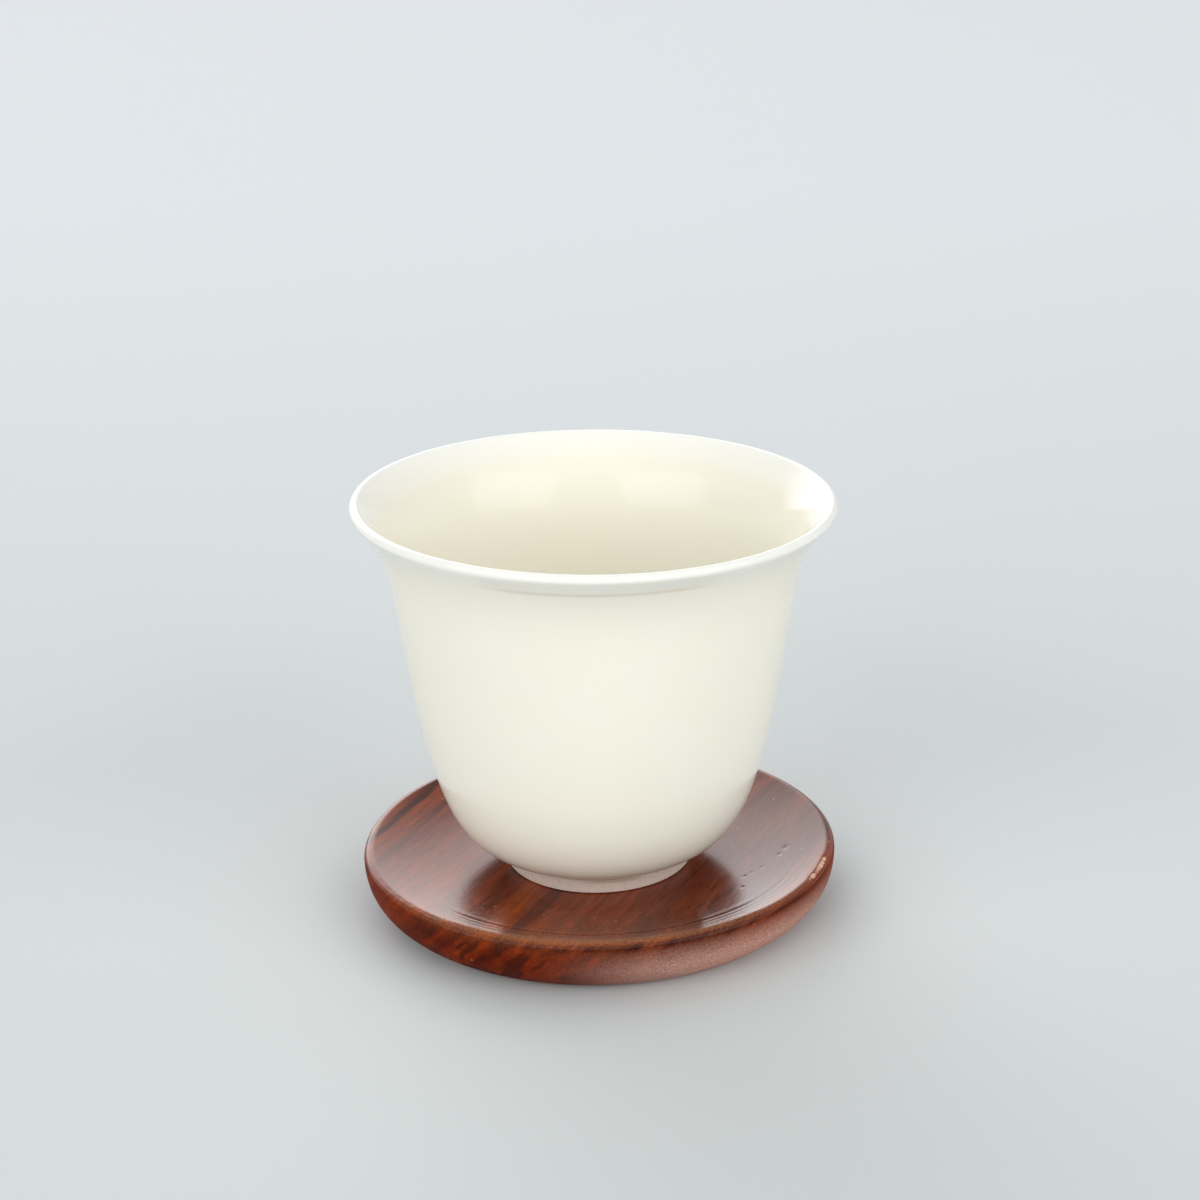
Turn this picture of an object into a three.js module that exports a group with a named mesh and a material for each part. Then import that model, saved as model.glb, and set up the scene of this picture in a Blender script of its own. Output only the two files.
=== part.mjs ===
// A gongfu tea cup with a flared lip, standing in the middle of a dished saucer of turned hardwood.
// Millimetres, +Z up, with the origin at the middle of the saucer's underside.
import * as THREE from 'three';

const degree = Math.PI / 180;

// Saucer, turned from one block of hardwood
const saucerRimRadius = 35.45;    // widest reach of the rim
const saucerHeight = 8.8;         // underside to the crest of the rim
const saucerBaseRadius = 30.2;    // flat underside
const saucerSideKick = 2.3;       // height of the point that the swelling side is drawn towards
const saucerRimRound = 1.25;      // radius of the rounded rim
const dishDepth = 2.8;            // crest of the rim down to the flat floor of the dish
const dishRise = 15.5 * degree;   // slope of the dish where it meets the rounded rim
const dishFloorMargin = 2.15;     // flat floor of the dish, beyond the cup's foot ring

// Cup, outside
const cupHeight = 56.6;           // foot to the top of the lip
const lipReach = 35;              // outermost radius of the lip
const lipThickness = 1.4;         // the lip is a half round of this thickness
const lipLean = 36 * degree;      // lean of the wall from upright, where it meets the lip
const waistRadius = 29.4;         // outside radius where the flare begins
const waistLean = 9 * degree;     // lean of the wall there
const flareHeight = 12.6;         // waist to the top of the lip
const shoulderRadius = 22.84;     // outside radius where the bowl's turn becomes the wall
const shoulderLean = 21.8 * degree;
const shoulderRise = 7.6;         // top of the foot ring to the shoulder

// Cup, foot ring
const footRadius = 13.85;         // outside of the foot ring
const footHeight = 3.4;           // table to the underside of the bowl
const footWidth = 2.6;            // width of the ring that stands on the saucer
const footHollow = 2.4;           // depth of the hollow within the ring
const footEdge = 0.4;             // bevel of the ring's edges
const footFillet = 0.7;           // radius between the ring and the bowl

// Cup, inside
const wallThickness = 2;
const baseThickness = 3;          // between the hollow of the foot and the inside floor
const insideFloorRadius = 9;      // flat middle of the inside floor

// The cup's foot stands on the floor of the dish with this film of clearance under it.
const seatClearance = 0.05;

// How far each end of a wall's curve keeps its lean, as a share of that stretch's height
const wallEase = { start: 0.27, end: 0.17 };
const flareEase = { start: 0.68, end: 0.15 };

// Fineness of the surfaces
const turnSteps = 48;
const longCurveSteps = 7;
const shortCurveSteps = 3;
const lipSteps = 6;

const porcelain = new THREE.MeshStandardMaterial({ color: 0xf3f0e2, roughness: 0.12, metalness: 0 });
const rosewood = new THREE.MeshStandardMaterial({ color: 0x6b3524, roughness: 0.35, metalness: 0 });

// A point of an outline: radius from the axis, then height.
function at(radius, height) {
  return new THREE.Vector2(radius, height);
}

// The point reached from another by going along a wall that leans outwards from upright.
function along(point, lean, length) {
  return at(point.x + length * Math.sin(lean), point.y + length * Math.cos(lean));
}

// An arc of a circle in the outline's plane, counterclockwise between two angles.
function arc(centre, radius, startAngle, endAngle, steps) {
  return new THREE.EllipseCurve(centre.x, centre.y, radius, radius, startAngle, endAngle).getPoints(steps);
}

function bend(start, corner, end, steps) {
  return new THREE.QuadraticBezierCurve(start, corner, end).getPoints(steps);
}

// A wall between two points, keeping its lean near each end.
function wall(lower, lowerLean, upper, upperLean, ease) {
  const rise = upper.y - lower.y;
  const lowerPull = along(lower, lowerLean, ease.start * rise);
  const upperPull = along(upper, upperLean, -ease.end * rise);
  return new THREE.CubicBezierCurve(lower, lowerPull, upperPull, upper).getPoints(longCurveSteps);
}

// The corner where a flat at a given height meets the wall's tangent at the shoulder.
function turnCorner(shoulder, height) {
  return at(shoulder.x - (shoulder.y - height) * Math.tan(shoulderLean), height);
}

// Stretches joined end to end, with each repeated point kept once.
function join(...stretches) {
  const outline = [];
  for (const point of stretches.flat()) {
    const last = outline[outline.length - 1];
    if (!last || last.distanceTo(point) > 1e-6) outline.push(point);
  }
  return outline;
}

// Underside, swelling side, rounded rim, dish and flat floor of the saucer.
function saucerOutline() {
  const rim = at(saucerRimRadius - saucerRimRound, saucerHeight - saucerRimRound);
  const rimInside = at(rim.x - saucerRimRound * Math.sin(dishRise), rim.y + saucerRimRound * Math.cos(dishRise));
  const floorEdge = at(footRadius + dishFloorMargin, saucerHeight - dishDepth);
  const dishCorner = at(rimInside.x - (rimInside.y - floorEdge.y) / Math.tan(dishRise), floorEdge.y);
  const side = bend(
    at(saucerBaseRadius, 0),
    at(saucerRimRadius, saucerSideKick),
    at(saucerRimRadius, rim.y),
    longCurveSteps,
  );
  return join(
    [at(0, 0)],
    side,
    arc(rim, saucerRimRound, 0, dishRise + Math.PI / 2, lipSteps),
    bend(rimInside, dishCorner, floorEdge, longCurveSteps),
    [at(0, floorEdge.y)],
  );
}

// From the hollow of the foot, up the outside, over the lip and down the inside.
function cupOutline() {
  const ringInside = footRadius - footWidth;
  const shoulder = at(shoulderRadius, footHeight + shoulderRise);
  const waist = at(waistRadius, cupHeight - flareHeight);
  const lipRound = lipThickness / 2;
  const lip = at(lipReach - lipRound, cupHeight - lipRound);
  const lipOutside = at(lip.x + lipRound * Math.cos(lipLean), lip.y - lipRound * Math.sin(lipLean));
  const lipInside = at(lip.x - lipRound * Math.cos(lipLean), lip.y + lipRound * Math.sin(lipLean));
  const bowlStart = at(footRadius + footFillet, footHeight);
  const floor = footHollow + baseThickness;
  const shoulderInside = at(shoulder.x - wallThickness, shoulder.y);
  const waistInside = at(waist.x - wallThickness, waist.y);
  const foot = [
    at(0, footHollow),
    at(ringInside, footHollow),
    at(ringInside, footEdge),
    at(ringInside + footEdge, 0),
    at(footRadius - footEdge, 0),
    at(footRadius, footEdge),
  ];
  const outside = join(
    bend(at(footRadius, footHeight - footFillet), at(footRadius, footHeight), bowlStart, shortCurveSteps),
    bend(bowlStart, turnCorner(shoulder, footHeight), shoulder, longCurveSteps),
    wall(shoulder, shoulderLean, waist, waistLean, wallEase),
    wall(waist, waistLean, lipOutside, lipLean, flareEase),
  );
  const inside = join(
    bend(at(insideFloorRadius, floor), turnCorner(shoulderInside, floor), shoulderInside, longCurveSteps),
    wall(shoulderInside, shoulderLean, waistInside, waistLean, wallEase),
    wall(waistInside, waistLean, lipInside, lipLean, flareEase),
  );
  const overLip = arc(lip, lipRound, -lipLean, Math.PI - lipLean, lipSteps);
  return join(foot, outside, overLip, inside.reverse(), [at(0, floor)]);
}

// An outline turned about the Z axis.
function turned(name, outline, material) {
  const geometry = new THREE.LatheGeometry(outline, turnSteps);
  geometry.rotateX(Math.PI / 2);
  const mesh = new THREE.Mesh(geometry, material);
  mesh.name = name;
  return mesh;
}

const saucer = turned('saucer', saucerOutline(), rosewood);
const cup = turned('cup', cupOutline(), porcelain);
cup.position.z = saucerHeight - dishDepth + seatClearance;

const teaCup = new THREE.Group();
teaCup.add(saucer, cup);

export default teaCup;
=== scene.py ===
"""A glazed gongfu tea cup on a turned rosewood saucer, dressed over its packed construction."""
import math

import bpy
import numpy as np
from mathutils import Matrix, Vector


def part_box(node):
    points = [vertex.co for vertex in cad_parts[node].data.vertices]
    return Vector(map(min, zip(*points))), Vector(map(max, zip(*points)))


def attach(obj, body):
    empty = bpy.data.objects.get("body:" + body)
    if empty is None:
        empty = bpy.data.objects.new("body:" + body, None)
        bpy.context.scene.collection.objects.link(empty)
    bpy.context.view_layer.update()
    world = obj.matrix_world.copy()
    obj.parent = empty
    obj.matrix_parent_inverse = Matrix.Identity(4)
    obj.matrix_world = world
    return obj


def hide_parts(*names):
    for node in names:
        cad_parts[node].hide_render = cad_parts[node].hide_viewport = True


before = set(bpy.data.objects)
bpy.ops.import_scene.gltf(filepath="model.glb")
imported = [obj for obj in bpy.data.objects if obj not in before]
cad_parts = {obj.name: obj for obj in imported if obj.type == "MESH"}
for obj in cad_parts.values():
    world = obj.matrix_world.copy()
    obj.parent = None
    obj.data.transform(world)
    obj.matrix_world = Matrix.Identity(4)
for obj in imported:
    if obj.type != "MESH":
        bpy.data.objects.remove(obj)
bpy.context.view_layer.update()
cup_low, cup_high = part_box("cup")
saucer_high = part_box("saucer")[1]

bl_info = {
    "name": "Gongfu tea cup",
    "version": (1, 0, 0),
    "blender": (4, 5, 0),
    "location": "3D View > Sidebar > Tea Cup",
    "description": "Builds a glazed tea cup, its turned wooden saucer and a small studio round them",
    "category": "Add Mesh",
}

MM = 0.001

# Points along each stretch of an outline, and round the axis
LONG_STRETCH = 40
CREASED_STRETCH = 90
TURN_STRETCH = 24
SHORT_STRETCH = 8
LIP_STRETCH = 20
FLAT_STRETCH = 8
DISH_STRETCH = 110
CUP_TURN = 256
SAUCER_TURN = 540
# Power that draws the points of the dish together near the rim
DISH_CROWDING = 1.6
# Points of an outline that are nearer to each other than this are one point
SAME_POINT = 1e-4 * MM

# Every seeded draw starts from here, so that each run gives the same marks
WEAR_SEED = 41
RIPPLE_SEED = 7

# How often each of the glaze's waves comes in one ripple spacing
RIPPLE_RATES = (0.5, 0.8, 1.2)
# The crease below the lip: first and last azimuth, and the angle over which it fades out
CREASE_FIRST = math.radians(238)
CREASE_LAST = math.radians(301)
CREASE_FADE = math.radians(12)
# A second, fainter brown line of painted shade on the foot ring: its drop from the first one, its strength
# and its stretch
SECOND_SHADE_LINE_DROP = 0.42 * MM
SECOND_SHADE_LINE_SHARE = 0.5
SECOND_SHADE_LINE_FIRST = math.radians(258)
SECOND_SHADE_LINE_LAST = math.radians(300)
SECOND_SHADE_LINE_FADE = math.radians(10)

# Tool lines: their number, the first and last azimuth that sanding left, and the angle of fading out
TOOL_LINES = 3
TOOL_FIRST = math.radians(218)
TOOL_LAST = math.radians(345)
TOOL_FADE = math.radians(14)
# Place of the bead inside the first tool line, in half widths of the bead
BEAD_INSET = 1.6
# Worn stretches of the rim: first and last azimuth in degrees, chips, their reach across and share of depth
WORN_STRETCHES = ((195, 248, 54, 0.2 * MM, 0.35), (331, 345, 24, 0.5 * MM, 1))
# Shortest and longest chip as shares of the usual one, and shallowest and deepest as shares of the deepest
CHIP_LENGTHS = (0.4, 1.6)
CHIP_DEPTHS = (0.3, 1)
# Pits where small knots fell out: azimuth in degrees, radius and width
PITS = (
    (354.5, 28.1 * MM, 0.36 * MM),
    (350.2, 27.3 * MM, 0.26 * MM),
    (341.2, 25.4 * MM, 0.18 * MM),
    (337.0, 24.4 * MM, 0.14 * MM),
    (333.8, 23.8 * MM, 0.16 * MM),
    (325.0, 25.4 * MM, 0.14 * MM),
)
# How much longer a pit is along the fibres than across them
PIT_STRETCH = 2
# Upward parts of the normal between which the lacquer of the rim gives way to the dry side
DRY_EDGES = (0.9, 0.3)
# Dryness from which the wood has the dull finish
DRY_FROM = 0.5
# How soon the end grain's dark rings fade out towards the sides
END_GRAIN_POWER = 6
# Painted sheen on the side, a pale film for the floor that the side would mirror: where it is thickest, half
# the stretch that it covers, and how flat its curve's top is
SIDE_SHEEN_AZIMUTH = math.radians(308)
SIDE_SHEEN_REACH = math.radians(38)
SIDE_SHEEN_POWER = 4
# Top of that film and the stretch over which it fades out, as shares of the saucer's height
SIDE_SHEEN_TOP = 0.93
SIDE_SHEEN_FADE = 0.4
# Bands along the rim: the middle azimuth, half the stretch, the angle above the level and half the width.
# A painted dark line lies below the crest, for the dark room that the lacquer mirrors there, and inside it
# the lacquer is rubbed thin.
DARK_REFLECTION_BAND = (math.radians(288), math.radians(45), math.radians(32), 0.55 * MM)
# The rubbed band is partly a painted sheen: its lighter wood also stands for the sheen along the front slope.
RUBBED_SHEEN_BAND = (math.radians(272), math.radians(52), math.radians(112), 1.5 * MM)
# How flat the top of their curves along the rim is
BAND_POWER = 6

# Direction of the wood's fibres, from +X in the table's plane, and slant of the growth rings from upright
GRAIN_AZIMUTH = math.radians(64)
RING_SLANT = math.radians(47)
# The board that the saucer was turned from: its middle, its turn, and half of its width
BOARD_MIDDLE = (0, 0, cup_low.z)
BOARD_TURN = (RING_SLANT, 0, GRAIN_AZIMUTH)
BOARD_REACH = 45 * MM
# Growth zones across the board: millimetres from its middle, and a tone from dark vein to amber
VEIN_TONE = 0
HEARTWOOD_TONE = 0.5
AMBER_TONE = 1
GROWTH_ZONES = (
    (-45, 0.5), (-33, 0.6), (-30, 0.45), (-27, 0.2), (-23, 0.25), (-20, 0.4), (-17, 0.3), (-13, 0.5),
    (-9, 0.55), (-5, 0.6), (-2, 0.5), (0.8, 0.2), (3.3, 0.85), (6, 0.5), (8, 0.25), (10, 0.5), (12, 0.3),
    (15, 0.6), (18, 0.7), (21, 0.65), (25, 0.55), (28.8, 0.5), (29.4, 0.3), (30, 0.5), (32.5, 0.75),
    (34.2, 0.5), (34.9, 0.08), (35.7, 0.5), (38, 0.6), (45, 0.6),
)
# Sizes of the wood's features: along the fibres, across the growth rings and in their plane
WANDERING = (30 * MM, 5 * MM, 9 * MM)
FIBRES = (7 * MM, 0.3 * MM, 0.4 * MM)
BUNDLES = (18 * MM, 0.9 * MM, 3 * MM)
PORES = (1.8 * MM, 0.16 * MM, 0.16 * MM)
DARK_RINGS = (60 * MM, 1.6 * MM, 6 * MM)
# How far the growth rings wander to each side, and the size of torn splinters
WANDER_REACH = 3 * MM
SPLINTER_SIZE = 0.3 * MM
# Values between which most of a noise lies
NOISE_LOW = 0.3
NOISE_HIGH = 0.7
# Darkest and lightest factor that the fibres and their bundles give the wood's colour
FIBRE_FACTORS = (0.7, 1.25)
BUNDLE_FACTORS = (0.72, 1.22)
# Noise values from the edge of a pore to its middle, and how much of its colour shows there
PORE_VALUES = (0.64, 0.74)
PORE_AMOUNT = 0.6
# Distance between dust specks, their edge and middle as shares of it, and how much of their colour shows
DUST_SPACING = 3.2 * MM
DUST_EDGES = (0.06, 0.03)
DUST_AMOUNT = 0.5
# Height of the fibres under the finish, how strongly it shows, and how much higher the dry side's grit stands
FIBRE_HEIGHT = 0.02 * MM
FIBRE_STRENGTH = 0.2
GRIT_HEIGHT = 8
# Lowest and highest roughness of the lacquer, and what the dry side adds to it
LACQUER_ROUGHNESS = (0.12, 0.18)
DRY_ROUGHNESS = 0.4

# Size of the pools in the glaze, and size, height, strength and roughness of its orange peel
GLAZE_POOLS = 16 * MM
PEEL_SIZE = 2.4 * MM
PEEL_HEIGHT = 0.02 * MM
PEEL_STRENGTH = 0.12
GLAZE_ROUGHNESS = (0.08, 0.13)
# Grit of the unglazed porcelain: its size, the noise values of a speck, its height, strength and roughness
BISCUIT_GRIT = 0.3 * MM
BISCUIT_SPECKS = (0.5, 0.8)
BISCUIT_HEIGHT = 0.05 * MM
BISCUIT_STRENGTH = 0.4
BISCUIT_ROUGHNESS = 0.7

# The paper: its drop below the saucer, its tooth, roughness and sheen, and the places between which it pales
FLOOR_DROP = 0.05 * MM
PAPER_TOOTH = 3 * MM
PAPER_ROUGHNESS = (0.75, 0.9)
PAPER_SHEEN = 0.2
PALING = (-0.1, 0.6)
# The two panels, far enough off to leave no edge on the floor behind the object: places, width and height
LEFT_PANEL = (-7.49, -7.61, 4.61)
RIGHT_PANEL = (8.23, -6.86, 4.61)
PANEL_WIDTH = 10.78
PANEL_HEIGHT = 7.61
# Where the room is brighter, and the cosines of the angles from there between which it dims:
# above and behind the object, low behind it, and a little low in front of it
TOP_DIRECTION = (0, 0.72, 0.694)
TOP_EDGES = (-0.35, 0.9)
GLOW_DIRECTION = (-0.29, 0.905, 0.31)
GLOW_EDGES = (math.cos(math.radians(34)), math.cos(math.radians(12)))
FILL_DIRECTION = (0, -0.985, 0.17)
FILL_EDGES = (math.cos(math.radians(65)), math.cos(math.radians(15)))


# Settings that a user may change

def linear(hex_colour):
    """An sRGB colour written as # and six hex digits, as linear red, green and blue."""
    shares = [int(hex_colour[at:at + 2], 16) / 255 for at in (1, 3, 5)]
    return tuple(s / 12.92 if s <= 0.04045 else ((s + 0.055) / 1.055) ** 2.4 for s in shares)


def length(name, description, metres):
    """A size in metres."""
    return bpy.props.FloatProperty(
        name=name, description=description, default=metres, subtype="DISTANCE", unit="LENGTH", precision=5
    )


def angle(name, description, degrees):
    """An angle, written in degrees and kept in radians."""
    return bpy.props.FloatProperty(
        name=name, description=description, default=math.radians(degrees), subtype="ANGLE", unit="ROTATION"
    )


def share(name, description, value):
    """A plain number."""
    return bpy.props.FloatProperty(name=name, description=description, default=value, subtype="FACTOR")


def colour(name, description, hex_colour):
    """A colour, written in sRGB hex and kept linear."""
    return bpy.props.FloatVectorProperty(
        name=name, description=description, default=linear(hex_colour), subtype="COLOR", size=3, min=0, max=1
    )


class CupSizes(bpy.types.PropertyGroup):
    """Sizes of the porcelain cup. Heights count from its own foot."""

    seat: length("Seat", "Height of the foot above the table", cup_low.z)
    height: length("Height", "Foot to the top of the lip", cup_high.z - cup_low.z)
    lip_reach: length("Lip reach", "Outermost radius of the lip", cup_high.x)
    lip_thickness: length("Lip thickness", "The lip is a half round of this thickness", 1.4 * MM)
    lip_lean: angle("Lip lean", "Lean of the wall from upright where it meets the lip", 36)
    waist_radius: length("Waist radius", "Outside radius where the flare begins", 29.4 * MM)
    waist_lean: angle("Waist lean", "Lean of the wall where the flare begins", 9)
    flare_height: length("Flare height", "Waist to the top of the lip", 12.6 * MM)
    shoulder_radius: length("Shoulder radius", "Outside radius where the bowl's turn ends", 22.84 * MM)
    shoulder_lean: angle("Shoulder lean", "Lean of the wall where the bowl's turn ends", 21.8)
    shoulder_rise: length("Shoulder rise", "Top of the foot ring to the shoulder", 7.6 * MM)
    wall_ease: bpy.props.FloatVectorProperty(
        name="Wall ease", description="Share of the wall's rise that keeps its lean at each end",
        size=2, default=(0.27, 0.17))
    flare_ease: bpy.props.FloatVectorProperty(
        name="Flare ease", description="Share of the flare's rise that keeps its lean at each end",
        size=2, default=(0.68, 0.15))
    foot_radius: length("Foot radius", "Outside of the foot ring", 13.85 * MM)
    foot_height: length("Foot height", "Seat to the underside of the bowl", 3.4 * MM)
    foot_width: length("Foot width", "Width of the ring that stands on the saucer", 2.6 * MM)
    foot_hollow: length("Foot hollow", "Depth of the hollow within the ring", 2.4 * MM)
    foot_edge: length("Foot edge", "Rounding of the ring's edges", 0.25 * MM)
    foot_fillet: length("Foot fillet", "Radius between the ring and the bowl", 0.7 * MM)
    wall_thickness: length("Wall thickness", "Thickness of the wall, taken level", 2 * MM)
    base_thickness: length("Base thickness", "Hollow of the foot to the inside floor", 3 * MM)
    floor_radius: length("Inside floor radius", "Flat middle of the inside floor", 9 * MM)
    lip_warp: angle("Lip warp", "Tilt that the lip took in the kiln, down towards +X", 1.17)
    lean: length("Lean", "How far the lip leans towards +X", 0.5 * MM)
    bare_height: length("Bare height", "Height to which the foot ring is wiped free of glaze", 2.2 * MM)
    ripple: length("Glaze ripple", "Height of the slow waves in the glaze", 0.012 * MM)
    ripple_spacing: length("Ripple spacing", "Distance between the waves in the glaze", 11 * MM)
    thin_band: length("Thin glaze band", "Height over which the glaze thins towards the lip", 4.4 * MM)
    crease_drop: length("Crease drop", "Top of the lip down to the crease below its front", 3.4 * MM)
    crease_width: length("Crease width", "Half the width of that crease", 0.28 * MM)
    crease_depth: length("Crease depth", "Depth of that crease", 0.012 * MM)
    # Painted shade: a brown line drawn round the foot ring just below the bowl, at the glaze's edge.
    shade_line_height: length("Flash height", "Foot to the brown line where the glaze ends on the ring", 2.25 * MM)
    shade_line_width: length("Flash width", "Half the width of that brown line", 0.18 * MM)


class SaucerSizes(bpy.types.PropertyGroup):
    """Sizes of the turned saucer. Heights count from the table."""

    height: length("Height", "Underside to the crest of the rim", saucer_high.z)
    rim_radius: length("Rim radius", "Widest reach of the rim", saucer_high.x)
    base_radius: length("Base radius", "Flat underside", 30.2 * MM)
    side_kick: length("Side kick", "Height of the point that the side is drawn towards", 2.3 * MM)
    rim_round: length("Rim round", "Radius of the rounded rim", 1.25 * MM)
    dish_depth: length("Dish depth", "Crest of the rim down to the flat floor of the dish", 2.8 * MM)
    dish_rise: angle("Dish rise", "Slope of the dish where it meets the rounded rim", 15.5)
    floor_radius: length("Floor radius", "Flat floor of the dish, under the cup's foot", 16 * MM)
    tool_line_radius: length("Tool line radius", "Radius of the innermost line left by the tool", 30.4 * MM)
    tool_line_gap: length("Tool line gap", "Distance from each tool line to the next one", 1.05 * MM)
    tool_line_width: length("Tool line width", "Half the width of a tool line", 0.26 * MM)
    tool_line_depth: length("Tool line depth", "Depth of the innermost line, halved in the next", 0.022 * MM)
    bead_width: length("Bead width", "Half the width of the low bead inside the first tool line", 0.5 * MM)
    bead_height: length("Bead height", "Height of that bead", 0.012 * MM)
    chip_depth: length("Chip depth", "Depth of the deepest chip in the worn rim", 0.2 * MM)
    chip_length: length("Chip length", "Length of a usual chip along the rim", 0.7 * MM)
    chip_turn: angle("Chip turn", "Place of the worn line on the rounded rim, above the level", 74)
    pit_depth: length("Pit depth", "Depth of the pits where small knots fell out", 0.09 * MM)


class Finishes(bpy.types.PropertyGroup):
    """Colours and sheen of the porcelain and the wood."""

    glaze: colour("Glaze", "Ivory of the glaze over the body", "#f6f3e6")
    glaze_deep: colour("Deep glaze", "Ivory where the glaze lies thicker", "#f4f0df")
    glaze_lip: colour("Lip", "Body showing through thin glaze", "#f7f8f2")
    # Painted shade: the glaze is drawn darker in the crease below the lip, where shade falls under its roll.
    painted_crease_shade: colour("Crease", "Shade of the glaze in the crease below the lip", "#eae1d2")
    # Painted shade: colour of the brown lines drawn on the foot ring below the bowl.
    shade_line: colour("Flash", "Brown line where the glaze ends on the foot ring", "#94785e")
    biscuit: colour("Biscuit", "Unglazed porcelain of the foot ring", "#d8c8bc")
    biscuit_grit: colour("Biscuit grit", "Fine grit in the unglazed porcelain", "#b9a89b")
    heartwood: colour("Heartwood", "Main red brown of the rosewood", "#7c3415")
    amber: colour("Amber wood", "Lighter orange zones of the rosewood", "#97440f")
    dark_vein: colour("Dark vein", "Purple black growth lines", "#3a120a")
    pore: colour("Pore", "Open pores, filled with dark lacquer", "#2a120d")
    raw_wood: colour("Raw wood", "Wood laid bare in the chips", "#dab59a")
    dust: colour("Dust", "Specks of dust caught in the lacquer", "#d9b394")
    # Partly painted shade: this tint stains the side and also darkens all of the dry side and the underside.
    side_stain_and_shade: colour("Side stain", "Tint of the oil that soaked into the side of the saucer", "#e6bd9c")
    # Painted reflection: a dark red line below the rim, where the lacquer mirrors the dark room in front.
    dark_reflection: colour("Patina", "Deep red line of handling below the rim", "#380f09")
    # Partly painted sheen: lighter wood where the lacquer is rubbed thin, which also stands for the sheen on
    # the front slope.
    rubbed_and_sheen: colour("Rubbed wood", "Wood where the lacquer of the rim is rubbed thin", "#a9693f")
    # Painted sheen: a pale film on the side that stands for the floor's reflection in the wood.
    painted_side_sheen: colour("Old wax", "Pale film of old wax on the side of the saucer", "#c99c8d")
    glaze_sheen: share("Glaze sheen", "Specular level of the glaze", 0.25)
    lacquer_sheen: share("Lacquer sheen", "Specular level of the lacquered dish", 0.28)
    dry_sheen: share("Dry sheen", "Specular level of the dry side", 0.04)


class Studio(bpy.types.PropertyGroup):
    """The floor, the lamps and the camera."""

    # Painted light: the near paper is darker than the far paper, for light falling off towards the front.
    floor_near: colour("Near floor", "Pale paper under and in front of the object", "#d5dadb")
    floor_far: colour("Far floor", "Pale paper far behind the object", "#dfe4e8")
    floor_reach: length("Floor reach", "Half the side of the floor", 8.0)
    lens: length("Lens", "Focal length on a 36 mm frame", 73.74 * MM)
    camera_side: length("Camera side", "Camera's place along X", 1.085 * MM)
    camera_back: length("Camera back", "Camera's distance in front of the axis", 337.13 * MM)
    camera_up: length("Camera height", "Camera's height above the table", 169.39 * MM)
    camera_dip: angle("Camera dip", "How far the camera looks down", 20)
    camera_roll: angle("Camera roll", "How far the camera is turned about its own axis", -1.5)
    front_light: share("Front light", "Brightness of the room on the camera's side", 0.22)
    top_light: share("Top light", "Brightness of the room above and behind the object", 0.64)
    glow_light: share("Glow", "How much brighter the room is low behind the object", 2.5)
    panel_light: share("Panel light", "Brightness of each of the two low panels in front", 2.29)
    fill_light: share("Fill light", "How much brighter the room is low in front of the object", 0.42)


# Outlines: arrays of points, each a radius from the axis and a height

def bezier(points, steps, crowding=1):
    """A Bezier curve from the first point to the last, drawn towards those between: repeated weighted means.

    A crowding above 1 draws its points together near the start: the share of the way grows with that power.
    """
    t = np.linspace(0, 1, steps)[:, None] ** crowding
    level = [np.asarray(point, float)[None, :] for point in points]
    while len(level) > 1:
        level = [(1 - t) * first + t * second for first, second in zip(level, level[1:])]
    return level[0]


def arc(centre, radius, first, last, steps):
    """Part of a circle between two angles, counterclockwise."""
    turn = np.linspace(first, last, steps)[:, None]
    return np.asarray(centre) + radius * np.hstack([np.cos(turn), np.sin(turn)])


def along(point, lean, distance):
    """The point reached by going along a wall that leans outwards from upright."""
    return np.asarray(point) + distance * np.array([math.sin(lean), math.cos(lean)])


def wall(lower, lower_lean, upper, upper_lean, ease, steps=LONG_STRETCH):
    """A cubic Bezier wall between two points, which keeps its lean near each end."""
    rise = upper[1] - lower[1]
    pulls = [along(lower, lower_lean, ease[0] * rise), along(upper, upper_lean, -ease[1] * rise)]
    return bezier([lower, *pulls, upper], steps)


def joined(*stretches):
    """Stretches end to end, with each repeated point kept once."""
    points = np.vstack(stretches)
    step = np.linalg.norm(np.diff(points, axis=0), axis=1)
    return points[np.concatenate([[True], step > SAME_POINT])]


def outward(section):
    """The outline's normals: its tangents turned a quarter turn clockwise."""
    tangent = np.gradient(section, axis=0)
    normal = np.stack([tangent[:, 1], -tangent[:, 0]], axis=1)
    return normal / np.linalg.norm(normal, axis=1, keepdims=True)


def bell(distance, width, power=2):
    """A smooth bump, 1 in the middle: the exponential of minus the distance in widths, to an even power.

    A higher power gives a flatter top and steeper flanks.
    """
    return np.exp(-(distance / width) ** power)


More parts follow.
